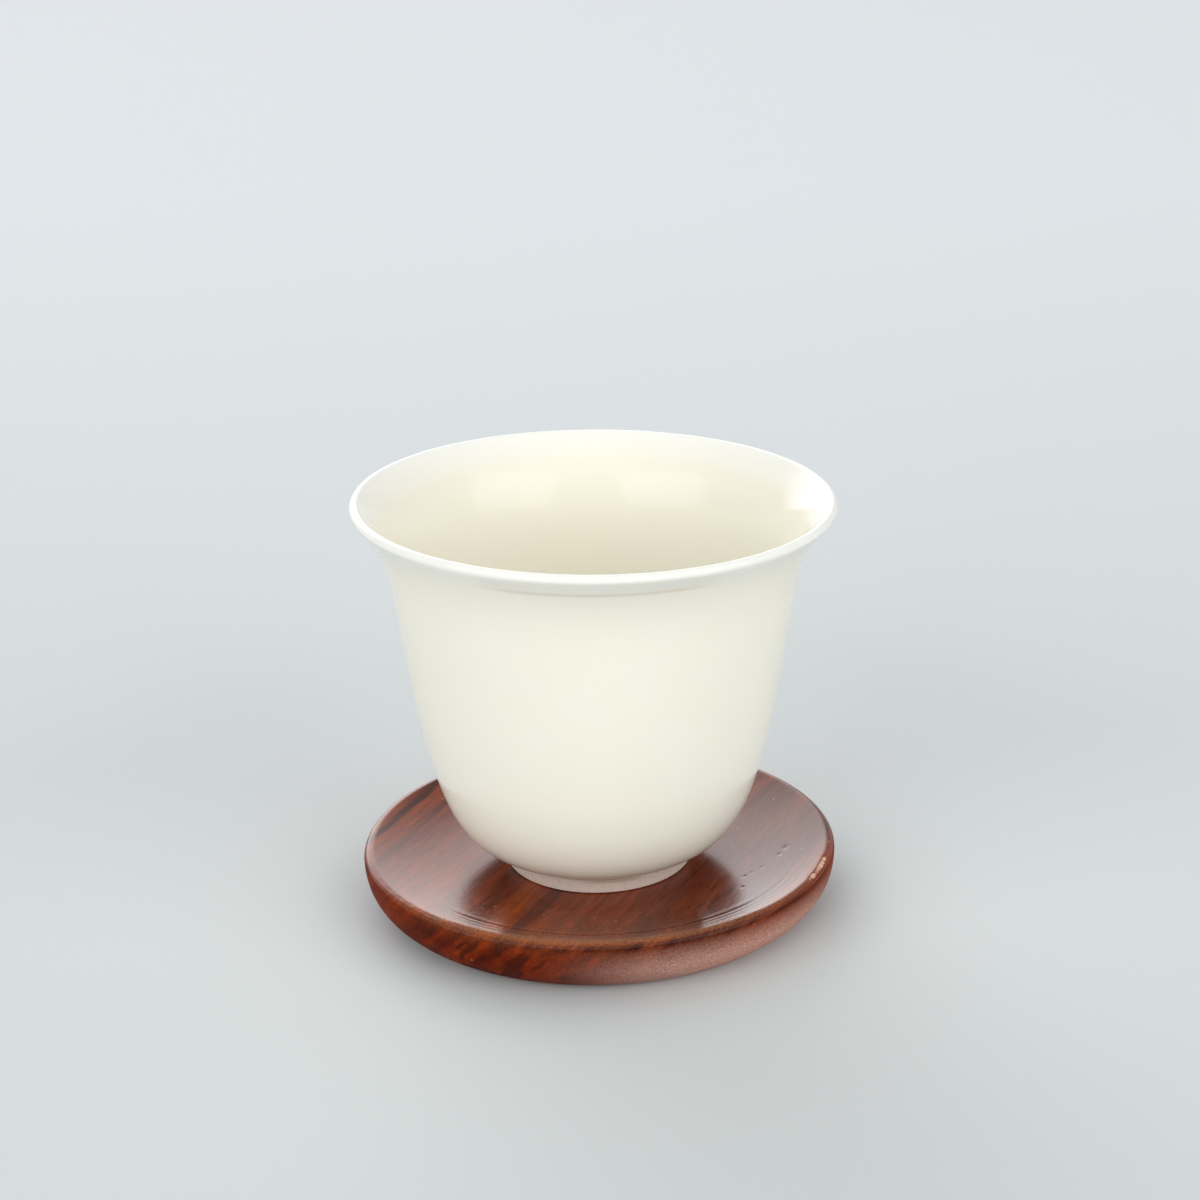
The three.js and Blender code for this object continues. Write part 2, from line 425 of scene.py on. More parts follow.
def cup_outline(size):
    """The foot's hollow and ring, the bowl's turn, wall and flare, over the round lip and down the inside."""
    ring_inside = size.foot_radius - size.foot_width
    edge = size.foot_edge
    ring_top = size.foot_height - size.foot_fillet
    shoulder = np.array([size.shoulder_radius, size.foot_height + size.shoulder_rise])
    waist = np.array([size.waist_radius, size.height - size.flare_height])
    lip_round = size.lip_thickness / 2
    lip = np.array([size.lip_reach - lip_round, size.height - lip_round])
    lip_out = lip_round * np.array([math.cos(size.lip_lean), -math.sin(size.lip_lean)])
    bowl_corner = (size.foot_radius, size.foot_height)
    bowl_start = (size.foot_radius + size.foot_fillet, size.foot_height)
    floor = size.foot_hollow + size.base_thickness
    level_wall = np.array([size.wall_thickness, 0])
    shoulder_inside = shoulder - level_wall
    waist_inside = waist - level_wall

    def turn_corner(end, height):
        return (end[0] - (end[1] - height) * math.tan(size.shoulder_lean), height)

    foot = [
        bezier([(0, size.foot_hollow), (ring_inside - edge, size.foot_hollow)], FLAT_STRETCH),
        bezier([(ring_inside - edge, size.foot_hollow), (ring_inside, size.foot_hollow),
                (ring_inside, size.foot_hollow - edge)], SHORT_STRETCH),
        arc((ring_inside + edge, edge), edge, math.pi, 1.5 * math.pi, SHORT_STRETCH),
        arc((size.foot_radius - edge, edge), edge, 1.5 * math.pi, 2 * math.pi, SHORT_STRETCH),
        bezier([(size.foot_radius, edge), (size.foot_radius, ring_top)], TURN_STRETCH),
    ]
    outside = [
        bezier([(size.foot_radius, ring_top), bowl_corner, bowl_start], SHORT_STRETCH),
        bezier([bowl_start, turn_corner(shoulder, size.foot_height), shoulder], TURN_STRETCH),
        wall(shoulder, size.shoulder_lean, waist, size.waist_lean, size.wall_ease),
        wall(waist, size.waist_lean, lip + lip_out, size.lip_lean, size.flare_ease, CREASED_STRETCH),
    ]
    inside = [
        bezier([(0, floor), (size.floor_radius, floor)], FLAT_STRETCH),
        bezier([(size.floor_radius, floor), turn_corner(shoulder_inside, floor), shoulder_inside],
               TURN_STRETCH),
        wall(shoulder_inside, size.shoulder_lean, waist_inside, size.waist_lean, size.wall_ease),
        wall(waist_inside, size.waist_lean, lip - lip_out, size.lip_lean, size.flare_ease),
    ]
    over_lip = arc(lip, lip_round, -size.lip_lean, math.pi - size.lip_lean, LIP_STRETCH)
    return joined(*foot, *outside, over_lip, np.vstack(inside)[::-1])


def rim_centre(size):
    """The middle of the saucer's rounded rim."""
    return np.array([size.rim_radius - size.rim_round, size.height - size.rim_round])


def on_rim(size, turn):
    """A point of the saucer's rounded rim, by its angle above the level."""
    return rim_centre(size) + size.rim_round * np.array([math.cos(turn), math.sin(turn)])


def saucer_outline(size):
    """Flat underside, swelling side, rounded rim, dish and flat floor."""
    rim = rim_centre(size)
    over_rim = arc(rim, size.rim_round, 0, size.dish_rise + math.pi / 2, LIP_STRETCH)
    floor_edge = np.array([size.floor_radius, size.height - size.dish_depth])
    dish_top = over_rim[-1]
    dish_corner = (dish_top[0] - (dish_top[1] - floor_edge[1]) / math.tan(size.dish_rise), floor_edge[1])
    side = [(size.base_radius, 0), (size.rim_radius, size.side_kick), (size.rim_radius, rim[1])]
    return joined(
        bezier([(0, 0), (size.base_radius, 0)], FLAT_STRETCH),
        bezier(side, TURN_STRETCH),
        over_rim,
        bezier([dish_top, dish_corner, floor_edge], DISH_STRETCH, DISH_CROWDING),
        bezier([floor_edge, (0, floor_edge[1])], FLAT_STRETCH),
    )


# Surfaces: arrays of points, one ring of them for each point of an outline

def round_turn(steps):
    """Azimuths of the points of a ring, in radians."""
    return np.linspace(0, 2 * math.pi, steps, endpoint=False)


def turn_from(azimuth, steps):
    """Angles of the points of a ring from an azimuth, at most half a turn either way."""
    return (round_turn(steps) - azimuth + math.pi) % (2 * math.pi) - math.pi


def between(first, last, fade, steps):
    """1 between two azimuths, falling to 0 at each of them over an angle."""
    turn = round_turn(steps)
    return np.clip((turn - first) / fade, 0, 1) * np.clip((last - turn) / fade, 0, 1)


def turned(section, steps):
    """An outline carried round the Z axis: x and y are its radius times cosine and sine, z its height."""
    turn = round_turn(steps)
    radius = section[:, :1]
    height = np.broadcast_to(section[:, 1:], (len(section), steps))
    return np.stack([radius * np.cos(turn), radius * np.sin(turn), height], axis=-1)


def mesh_of_rings(name, points):
    """A closed skin of quads between neighbouring rings, with a fan of triangles to the axis at each end."""
    rings = points[1:-1]
    rows, steps = rings.shape[:2]
    places = np.vstack([points[0, :1], rings.reshape(-1, 3), points[-1, :1]])
    near = 1 + np.arange(rows * steps).reshape(rows, steps)
    beside = np.roll(near, -1, axis=1)
    quads = np.stack([near[:-1], beside[:-1], beside[1:], near[1:]], axis=-1).reshape(-1, 4)
    first_fan = np.stack([np.zeros(steps, int), beside[0], near[0]], axis=-1)
    last_fan = np.stack([near[-1], beside[-1], np.full(steps, len(places) - 1)], axis=-1)
    mesh = bpy.data.meshes.new(name)
    mesh.from_pydata(places.tolist(), [], quads.tolist() + first_fan.tolist() + last_fan.tolist())
    mesh.shade_smooth()
    return mesh


def mark_vertices(mesh, marks):
    """Keeps numbers for the points of mesh_of_rings as attributes that materials can read."""
    for name, values in marks.items():
        in_order = np.concatenate([values[0, :1], values[1:-1].ravel(), values[-1, :1]])
        mesh.attributes.new(name, "FLOAT", "POINT").data.foreach_set("value", in_order.astype(np.float32))


def second_finish(mesh, marked, steps):
    """Gives the second material to the faces of mesh_of_rings between marked points of the outline."""
    between_rings = marked[1:-2] & marked[2:-1]
    faces = np.concatenate([np.repeat(between_rings, steps), np.repeat(marked[[0, -1]], steps)])
    mesh.polygons.foreach_set("material_index", faces.astype(np.int32))


# Marks and relief of the cup

def glaze_ripple(size, section, steps):
    """Slow waves in the glaze, which fade out towards the axis.

    Each is a sine of the azimuth and the way along the outline, times a cosine of that way.
    """
    draw = np.random.default_rng(RIPPLE_SEED)
    travel = np.concatenate([[0], np.cumsum(np.linalg.norm(np.diff(section, axis=0), axis=1))])[:, None]
    turn = round_turn(steps)
    waves_round = np.round(2 * math.pi * size.waist_radius / size.ripple_spacing * np.array(RIPPLE_RATES))
    phases = draw.uniform(0, 2 * math.pi, (2, len(waves_round)))
    ripple = np.zeros((len(section), steps))
    for waves, round_phase, along_phase in zip(waves_round, *phases):
        along_wave = travel * waves / size.waist_radius
        ripple += np.sin(waves * turn + round_phase + along_wave) * np.cos(along_wave + along_phase)
    fade = np.clip(section[:, :1] / size.foot_radius, 0, 1)
    return size.ripple * fade * ripple / len(waves_round)


def outer_face(section):
    """1 for the points of the cup's outline before its highest one, which lie on its outside, else 0."""
    return (np.arange(len(section)) < section[:, 1].argmax())[:, None]


def lip_crease(size, section, steps):
    """The crease below the lip, also darkened with painted shade: a bell curve in height, faded out at both
    ends of its stretch.
    """
    from_crease = section[:, 1:] - size.height + size.crease_drop
    around = between(CREASE_FIRST, CREASE_LAST, CREASE_FADE, steps)
    return outer_face(section) * bell(from_crease, size.crease_width) * around


def foot_shade_lines(size, section, steps):
    """Brown lines of painted shade on the foot ring, below the bowl: bell curves in height, one all round and
    a fainter one below.
    """
    on_ring = outer_face(section) * (np.abs(section[:, :1] - size.foot_radius) < size.foot_edge)
    above = section[:, 1:] - size.shade_line_height
    around = between(SECOND_SHADE_LINE_FIRST, SECOND_SHADE_LINE_LAST, SECOND_SHADE_LINE_FADE, steps)
    second = SECOND_SHADE_LINE_SHARE * bell(above + SECOND_SHADE_LINE_DROP, size.shade_line_width) * around
    return on_ring * np.maximum(bell(above, size.shade_line_width), second)


def cup_surface(size, section):
    """The turned outline, rippled and creased along its normals, and tilted and leaned by the kiln.

    The tilt and the lean both grow with the square of the height.
    """
    points = turned(section, CUP_TURN)
    directions = turned(outward(section), CUP_TURN)
    glazed = section[:, 1:] > size.bare_height
    relief = glazed * glaze_ripple(size, section, CUP_TURN)
    relief = relief - size.crease_depth * lip_crease(size, section, CUP_TURN)
    points = points + directions * relief[..., None]
    grown = (points[..., 2] / size.height) ** 2
    points[..., 2] -= math.tan(size.lip_warp) * points[..., 0] * grown
    points[..., 0] += size.lean * grown
    points[..., 2] += size.seat
    return points


# Marks and relief of the saucer

def tool_marks(size, section, steps):
    """Lines left in the dish by the turning tool, as heights.

    A line is a bell curve cut in, each half as deep as the one inside it, and a bead that stands up lies
    inside the first one. They fade out where the dish was sanded smooth.
    """
    upper = section[:, 1:] > size.height / 2
    from_first = section[:, :1] - size.tool_line_radius
    marks = size.bead_height * bell(from_first + BEAD_INSET * size.bead_width, size.bead_width)
    for line in range(TOOL_LINES):
        cut = bell(from_first - line * size.tool_line_gap, size.tool_line_width)
        marks = marks - size.tool_line_depth * cut / 2 ** line
    return upper * marks * between(TOOL_FIRST, TOOL_LAST, TOOL_FADE, steps)


def rim_wear(size, section, steps):
    """Chips along the worn stretches: bell curves in azimuth, under a bell curve across the worn line."""
    draw = np.random.default_rng(WEAR_SEED)
    worn_line = on_rim(size, size.chip_turn)
    from_line = np.linalg.norm(section - worn_line, axis=1)[:, None]
    wear = np.zeros((len(section), steps))
    for first, last, count, reach, share_of_depth in WORN_STRETCHES:
        place = np.radians(draw.uniform(first, last, count))[:, None]
        width = draw.uniform(*CHIP_LENGTHS, count)[:, None] * size.chip_length / size.rim_radius
        depth = share_of_depth * draw.uniform(*CHIP_DEPTHS, count)[:, None]
        around = (depth * bell(turn_from(place, steps), width)).max(axis=0)
        wear = np.maximum(wear, bell(from_line, reach) * around)
    return wear


def floor_pits(size, points):
    """Small pits where knots fell out: bell curves round each pit's place, longer along the fibres."""
    level = points[..., 2] > size.height / 2
    fibre = np.array([math.cos(GRAIN_AZIMUTH), math.sin(GRAIN_AZIMUTH)])
    pits = np.zeros(points.shape[:2])
    for azimuth, radius, width in PITS:
        centre = radius * np.array([math.cos(math.radians(azimuth)), math.sin(math.radians(azimuth))])
        away = points[..., :2] - centre
        along_fibre = (away @ fibre) / PIT_STRETCH
        across_fibre = away @ np.array([-fibre[1], fibre[0]])
        pits = np.maximum(pits, bell(np.hypot(along_fibre, across_fibre), width) * level)
    return pits


def dry_side(section):
    """How dry the wood is along the outline: 0 on the lacquered dish, 1 on the side and the underside."""
    upward = outward(section)[:, 1:]
    return np.clip((DRY_EDGES[0] - upward) / (DRY_EDGES[0] - DRY_EDGES[1]), 0, 1)


def end_grain(section, steps):
    """Where the side in front cuts across the fibres: a power of the cosine between its normal and them."""
    facing = np.clip(-np.cos(round_turn(steps) - GRAIN_AZIMUTH), 0, 1)
    return dry_side(section) * facing ** END_GRAIN_POWER


def side_sheen_film(size, section, steps):
    """Painted sheen on the side: a flat-topped bell curve in azimuth, which fades out upwards below the rim.
    """
    around = bell(turn_from(SIDE_SHEEN_AZIMUTH, steps), SIDE_SHEEN_REACH, SIDE_SHEEN_POWER)
    below_rim = np.clip((SIDE_SHEEN_TOP - section[:, 1:] / size.height) / SIDE_SHEEN_FADE, 0, 1)
    return dry_side(section) * around * below_rim


def rim_band(size, section, steps, band):
    """A band along the rim: a bell curve across it, under a flat-topped one in azimuth."""
    azimuth, reach, turn, width = band
    from_line = np.linalg.norm(section - on_rim(size, turn), axis=1)[:, None]
    return bell(from_line, width) * bell(turn_from(azimuth, steps), reach, BAND_POWER)


# Materials

def add(tree, kind, inputs=None, **settings):
    """Adds a node with its settings, then sets each input or links it to a socket.

    Some inputs go by number. A map range has its value at 0, the range that it comes from at 1 and 2 and the
    one that it goes to at 3 and 4. A mix of colours has its amount at 0 and the two colours at 6 and 7.
    """
    node = tree.nodes.new(kind)
    for name, value in settings.items():
        setattr(node, name, value)
    for name, value in (inputs or {}).items():
        if isinstance(value, bpy.types.NodeSocket):
            tree.links.new(value, node.inputs[name])
        else:
            node.inputs[name].default_value = value
    return node


def new_material(name):
    """A material, its empty node tree, and a socket there for places on the object."""
    material = bpy.data.materials.new(name)
    material.use_nodes = True
    tree = material.node_tree
    tree.nodes.clear()
    return material, tree, add(tree, "ShaderNodeTexCoord").outputs["Object"]


def finished(material, finish):
    """The material, with its surface set to a shader whose inputs are given by name."""
    shader = add(material.node_tree, "ShaderNodeBsdfPrincipled", finish)
    add(material.node_tree, "ShaderNodeOutputMaterial", {"Surface": shader.outputs[0]})
    return material


def opaque(rgb):
    """A colour property as the four numbers that a colour socket takes."""
    return (*rgb, 1.0)


def coated(tree, tone, coats):
    """A tone under coats of other shades, each with its amount: a socket, or a mark on the vertices."""
    for amount, shade in coats:
        if isinstance(amount, str):
            amount = add(tree, "ShaderNodeAttribute", attribute_name=amount).outputs["Fac"]
        mix = add(tree, "ShaderNodeMix", {0: amount, 6: tone, 7: opaque(shade)}, data_type="RGBA")
        tone = mix.outputs[2]
    return tone


def ivory_glaze(look):
    """Porcelain under clear glaze, fired glossy: a warm ivory, whiter where the glaze thins over the lip,
    with painted shade in the crease below the lip and on the foot ring.
    """
    material, tree, place = new_material("ivory_glaze")
    pooled = add(tree, "ShaderNodeTexNoise", {"Vector": place, "Scale": 1 / GLAZE_POOLS, "Detail": 2.0})
    tone = coated(tree, opaque(look.glaze), [
        (pooled.outputs[0], look.glaze_deep),
        ("thin_glaze", look.glaze_lip),
        # Painted shade in the crease below the lip
        ("crease_shade", look.painted_crease_shade),
        ("shade_line", look.shade_line),
    ])
    peeled = add(tree, "ShaderNodeTexNoise", {"Vector": place, "Scale": 1 / PEEL_SIZE, "Detail": 1.0})
    peel = peeled.outputs[0]
    gloss = add(tree, "ShaderNodeMapRange", {0: peel, 3: GLAZE_ROUGHNESS[0], 4: GLAZE_ROUGHNESS[1]})
    bump = add(tree, "ShaderNodeBump", {"Height": peel, "Strength": PEEL_STRENGTH, "Distance": PEEL_HEIGHT})
    return finished(material, {
        "Base Color": tone, "Roughness": gloss.outputs[0], "Specular IOR Level": look.glaze_sheen,
        "Normal": bump.outputs[0]})


def bare_biscuit(look):
    """Porcelain wiped free of glaze and fired: dry, matt and faintly gritty."""
    material, tree, place = new_material("bare_biscuit")
    gritty = add(tree, "ShaderNodeTexNoise", {"Vector": place, "Scale": 1 / BISCUIT_GRIT, "Detail": 3.0})
    grit = gritty.outputs[0]
    specks = add(tree, "ShaderNodeMapRange", {0: grit, 1: BISCUIT_SPECKS[0], 2: BISCUIT_SPECKS[1]})
    # The bare ring also carries the brown lines of painted shade.
    tone = coated(tree, opaque(look.biscuit), [(specks.outputs[0], look.biscuit_grit), ("shade_line", look.shade_line)])
    bump = add(tree, "ShaderNodeBump", {
        "Height": grit, "Strength": BISCUIT_STRENGTH, "Distance": BISCUIT_HEIGHT})
    return finished(material, {
        "Base Color": tone, "Roughness": BISCUIT_ROUGHNESS, "Normal": bump.outputs[0]})


def drawn_out(tree, place, features, detail):
    """Noise with features of three sizes: along the fibres, across the growth rings and in their plane."""
    stretched = add(tree, "ShaderNodeMapping", {
        "Vector": place, "Location": BOARD_MIDDLE, "Rotation": BOARD_TURN, "Scale": features},
        vector_type="TEXTURE")
    noise = add(tree, "ShaderNodeTexNoise", {"Vector": stretched.outputs[0], "Scale": 1.0, "Detail": detail})
    return noise.outputs[0]


def zoned_wood(tree, look, place):
    """Heartwood with amber zones and dark veins, by a curve over the distance across the board.

    The growth rings lie in slanted planes along the fibres. The distance is that from the middle plane,
    measured level at the floor of the dish and bent a little by slow noise.
    """
    board = add(tree, "ShaderNodeMapping", {
        "Vector": place, "Location": BOARD_MIDDLE, "Rotation": BOARD_TURN,
        "Scale": (1, math.cos(RING_SLANT), 1)}, vector_type="TEXTURE")
    across = add(tree, "ShaderNodeSeparateXYZ", {0: board.outputs[0]}).outputs["Y"]
    wandering = drawn_out(tree, place, WANDERING, 4.0)
    bend = add(tree, "ShaderNodeMapRange", {0: wandering, 3: -WANDER_REACH, 4: WANDER_REACH})
    bent = add(tree, "ShaderNodeMath", {0: across, 1: bend.outputs[0]}, operation="ADD")
    along_board = add(tree, "ShaderNodeMapRange", {0: bent.outputs[0], 1: -BOARD_REACH, 2: BOARD_REACH})
    zones = add(tree, "ShaderNodeFloatCurve", {"Value": along_board.outputs[0]})
    curve = zones.mapping.curves[0]
    for distance, tone in GROWTH_ZONES[1:-1]:
        curve.points.new(0.5 + 0.5 * distance * MM / BOARD_REACH, tone)
    curve.points[0].location = (0, GROWTH_ZONES[0][1])
    curve.points[-1].location = (1, GROWTH_ZONES[-1][1])
    zones.mapping.update()
    lighter = add(tree, "ShaderNodeMapRange", {0: zones.outputs[0], 1: HEARTWOOD_TONE, 2: AMBER_TONE})
    darker = add(tree, "ShaderNodeMapRange", {0: zones.outputs[0], 1: HEARTWOOD_TONE, 2: VEIN_TONE})
    return coated(tree, opaque(look.heartwood), [
        (lighter.outputs[0], look.amber),
        (darker.outputs[0], look.dark_vein),
    ])


def grained_wood(tree, look, place, fibres, bundles):
    """Zoned wood, made lighter and darker by its fibres and their bundles, with short dark pores."""
    fine = add(tree, "ShaderNodeMapRange", {
        0: fibres, 1: NOISE_LOW, 2: NOISE_HIGH, 3: FIBRE_FACTORS[0], 4: FIBRE_FACTORS[1]})
    coarse = add(tree, "ShaderNodeMapRange", {
        0: bundles, 1: NOISE_LOW, 2: NOISE_HIGH, 3: BUNDLE_FACTORS[0], 4: BUNDLE_FACTORS[1]})
    both = add(tree, "ShaderNodeMath", {0: fine.outputs[0], 1: coarse.outputs[0]}, operation="MULTIPLY")
    streaked = add(tree, "ShaderNodeVectorMath", {0: zoned_wood(tree, look, place), 1: both.outputs[0]},
                   operation="MULTIPLY")
    pores = add(tree, "ShaderNodeMapRange", {
        0: drawn_out(tree, place, PORES, 1.0), 1: PORE_VALUES[0], 2: PORE_VALUES[1], 4: PORE_AMOUNT})
    return coated(tree, streaked.outputs[0], [(pores.outputs[0], look.pore)])


def worn_wood(tree, look, place, grained, bundles, splinters, marks):
    """Grained wood under marks of use and painted light: a stain that also paints shade on the side, end
    grain, painted side sheen, rubbing that is partly painted sheen, a painted dark line, dust, pits and
    chips.

    A pattern breaks up the marks of use: between two of its values it fills them from one share to another.
    Splinters give the pits and the chips a ragged edge.
    """
    # The dry side's tint: an oil stain that also paints shade on the side and the underside.
    stained_and_shaded = add(tree, "ShaderNodeMix", {0: marks["dry"], 6: grained, 7: opaque(look.side_stain_and_shade)},
                  data_type="RGBA", blend_type="MULTIPLY")
    dark_rings = drawn_out(tree, place, DARK_RINGS, 3.0)
    broken_up = (
        ("end_grain", dark_rings, (0.5, 0.4), (0, 0.85), look.dark_vein),
        ("side_sheen", splinters, (NOISE_LOW, NOISE_HIGH), (0.5, 1), look.painted_side_sheen),
        ("rubbed_and_sheen", splinters, (0.35, 0.65), (0.15, 0.85), look.rubbed_and_sheen),
        ("dark_reflection", bundles, (0.75, 0.35), (0, 1), look.dark_reflection),
    )
    ragged = (
        ("pit", (0.12, 0.45), 0.9, look.pore),
        ("chip", (0.2, 0.3), 1, look.raw_wood),
    )
    coats = []
    for mark, pattern, values, shares, shade in broken_up:
        filled = add(tree, "ShaderNodeMapRange", {
            0: pattern, 1: values[0], 2: values[1], 3: shares[0], 4: shares[1]})
        amount = add(tree, "ShaderNodeMath", {0: marks[mark], 1: filled.outputs[0]}, operation="MULTIPLY")
        coats.append((amount.outputs[0], shade))
    cells = add(tree, "ShaderNodeTexVoronoi", {"Vector": place, "Scale": 1 / DUST_SPACING})
    specks = add(tree, "ShaderNodeMapRange", {
        0: cells.outputs["Distance"], 1: DUST_EDGES[0], 2: DUST_EDGES[1], 4: DUST_AMOUNT})
    coats.append((specks.outputs[0], look.dust))
    for mark, values, most, shade in ragged:
        torn = add(tree, "ShaderNodeMath", {0: marks[mark], 1: splinters}, operation="MULTIPLY")
        amount = add(tree, "ShaderNodeMapRange", {0: torn.outputs[0], 1: values[0], 2: values[1], 4: most})
        coats.append((amount.outputs[0], shade))
    return coated(tree, stained_and_shaded.outputs[2], coats)


def rosewood(look, name, sheen):
    """Rosewood, turned and sanded: red brown with amber zones, dark veins, fine fibres and short pores.

    Lacquer gives the dish a mirror sheen. The side and the underside are only oiled, dull and gritty.
    """
    material, tree, place = new_material(name)
    fibres = drawn_out(tree, place, FIBRES, 3.0)
    bundles = drawn_out(tree, place, BUNDLES, 3.0)
    splintered = add(tree, "ShaderNodeTexNoise", {"Vector": place, "Scale": 1 / SPLINTER_SIZE, "Detail": 2.0})
    splinters = splintered.outputs[0]
    marks = {}
    for mark in ("chip", "pit", "dry", "end_grain", "side_sheen", "dark_reflection", "rubbed_and_sheen"):
        marks[mark] = add(tree, "ShaderNodeAttribute", attribute_name=mark).outputs["Fac"]
    grained = grained_wood(tree, look, place, fibres, bundles)
    tone = worn_wood(tree, look, place, grained, bundles, splinters, marks)
    lacquer = add(tree, "ShaderNodeMapRange", {
        0: fibres, 1: NOISE_LOW, 2: NOISE_HIGH, 3: LACQUER_ROUGHNESS[0], 4: LACQUER_ROUGHNESS[1]})
    gloss = add(tree, "ShaderNodeMath", {0: marks["dry"], 1: DRY_ROUGHNESS, 2: lacquer.outputs[0]},
                operation="MULTIPLY_ADD")
    grit = add(tree, "ShaderNodeMath", {0: marks["dry"], 1: splinters}, operation="MULTIPLY")
    height = add(tree, "ShaderNodeMath", {0: grit.outputs[0], 1: GRIT_HEIGHT, 2: fibres},
                 operation="MULTIPLY_ADD")
    bump = add(tree, "ShaderNodeBump", {
        "Height": height.outputs[0], "Strength": FIBRE_STRENGTH, "Distance": FIBRE_HEIGHT})
    return finished(material, {
        "Base Color": tone, "Roughness": gloss.outputs[0], "Specular IOR Level": sheen,
        "Normal": bump.outputs[0]})


def pale_paper(studio):
    """Wide studio paper, matt and even, which pales into the distance: painted light, darker in front and
    paler behind.
    """
    material, tree, place = new_material("pale_paper")
    back = add(tree, "ShaderNodeSeparateXYZ", {0: place}).outputs["Y"]
    far = add(tree, "ShaderNodeMapRange", {0: back, 1: PALING[0], 2: PALING[1]},
              interpolation_type="SMOOTHSTEP")
    tone = coated(tree, opaque(studio.floor_near), [(far.outputs[0], studio.floor_far)])
    tooth = add(tree, "ShaderNodeTexNoise", {"Vector": place, "Scale": 1 / PAPER_TOOTH, "Detail": 2.0})
    matt = add(tree, "ShaderNodeMapRange", {
        0: tooth.outputs[0], 3: PAPER_ROUGHNESS[0], 4: PAPER_ROUGHNESS[1]})
    return finished(material, {
        "Base Color": tone, "Roughness": matt.outputs[0], "Specular IOR Level": PAPER_SHEEN})


# Placing

def show(mesh, materials):
    """Links a new object for a mesh, at the origin, with its materials."""
    for material in materials:
        mesh.materials.append(material)
    piece = bpy.data.objects.new(mesh.name, mesh)
    bpy.context.scene.collection.objects.link(piece)
    return piece


def stand_for(piece, node, body):
    """Lets a piece stand for a CAD node and move with its body."""
    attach(piece, body)
    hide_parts(node)


def light_panel(name, place, brightness):
    """A softbox turned to the object. Its power is the brightness of its face times pi times its area."""
    lamp = bpy.data.lights.new(name, "AREA")
    lamp.shape = "RECTANGLE"
    lamp.size = PANEL_WIDTH
    lamp.size_y = PANEL_HEIGHT
    lamp.energy = brightness * math.pi * PANEL_WIDTH * PANEL_HEIGHT
    panel = bpy.data.objects.new(name, lamp)
    panel.location = place
    aim = np.subtract((0, 0, cup_high.z / 2), place)
    dip = math.acos(-aim[2] / np.linalg.norm(aim))
    panel.rotation_euler = (dip, 0, math.atan2(aim[1], aim[0]) - math.pi / 2)
    panel.visible_camera = False
    bpy.context.scene.collection.objects.link(panel)


class TEACUP_OT_stage(bpy.types.Operator):
    """Lays the pale floor, hangs the light panels and sets up the camera"""

    bl_idname = "tea_cup.stage"
    bl_label = "Studio"

    def execute(self, context):
        studio = context.scene.tea_cup_studio
        reach = studio.floor_reach
        corners = ((-reach, -reach), (reach, -reach), (reach, reach), (-reach, reach))
        mesh = bpy.data.meshes.new("floor")
        mesh.from_pydata([(x, y, -FLOOR_DROP) for x, y in corners], [], [(0, 1, 2, 3)])
        show(mesh, [pale_paper(studio)])
        light_panel("left_panel", LEFT_PANEL, studio.panel_light)
        light_panel("right_panel", RIGHT_PANEL, studio.panel_light)
        self.light_room(context.scene, studio)
        self.place_camera(context.scene, studio)
        context.scene.view_settings.view_transform = "Standard"
        return {"FINISHED"}

    def light_room(self, scene, studio):
        """Soft light from all round, mostly from above and behind; the camera sees it as the far paper."""
        scene.world = bpy.data.worlds.new("studio_room")
        scene.world.use_nodes = True
        tree = scene.world.node_tree
        tree.nodes.clear()
        direction = add(tree, "ShaderNodeTexCoord").outputs["Generated"]
        brighter = (
            (TOP_DIRECTION, TOP_EDGES, studio.front_light, studio.top_light),
            (GLOW_DIRECTION, GLOW_EDGES, 0, studio.glow_light),
            (FILL_DIRECTION, FILL_EDGES, 0, studio.fill_light),
        )
        level = 0
        for towards, edges, dim, bright in brighter:
            nearness = add(tree, "ShaderNodeVectorMath", {0: direction, 1: towards}, operation="DOT_PRODUCT")
            part = add(tree, "ShaderNodeMapRange", {
                0: nearness.outputs["Value"], 1: edges[0], 2: edges[1], 3: dim, 4: bright},
                interpolation_type="SMOOTHSTEP")
            level = add(tree, "ShaderNodeMath", {0: level, 1: part.outputs[0]}, operation="ADD").outputs[0]
        room = add(tree, "ShaderNodeBackground", {"Color": (1, 1, 1, 1), "Strength": level})
        far_paper = add(tree, "ShaderNodeBackground", {"Color": opaque(studio.floor_far), "Strength": 1.0})
        seen = add(tree, "ShaderNodeLightPath").outputs["Is Camera Ray"]
        both = add(tree, "ShaderNodeMixShader", {0: seen, 1: room.outputs[0], 2: far_paper.outputs[0]})
        add(tree, "ShaderNodeOutputWorld", {"Surface": both.outputs[0]})

    def place_camera(self, scene, studio):
        """A camera in front, dipped towards the object and turned a little about its own axis."""
        data = bpy.data.cameras.new("camera")
        data.lens = studio.lens / MM
        camera = bpy.data.objects.new("camera", data)
        camera.location = (studio.camera_side, -studio.camera_back, studio.camera_up)
        camera.rotation_mode = "ZYX"
        camera.rotation_euler = (math.pi / 2 - studio.camera_dip, 0, studio.camera_roll)
        scene.collection.objects.link(camera)
        scene.camera = camera


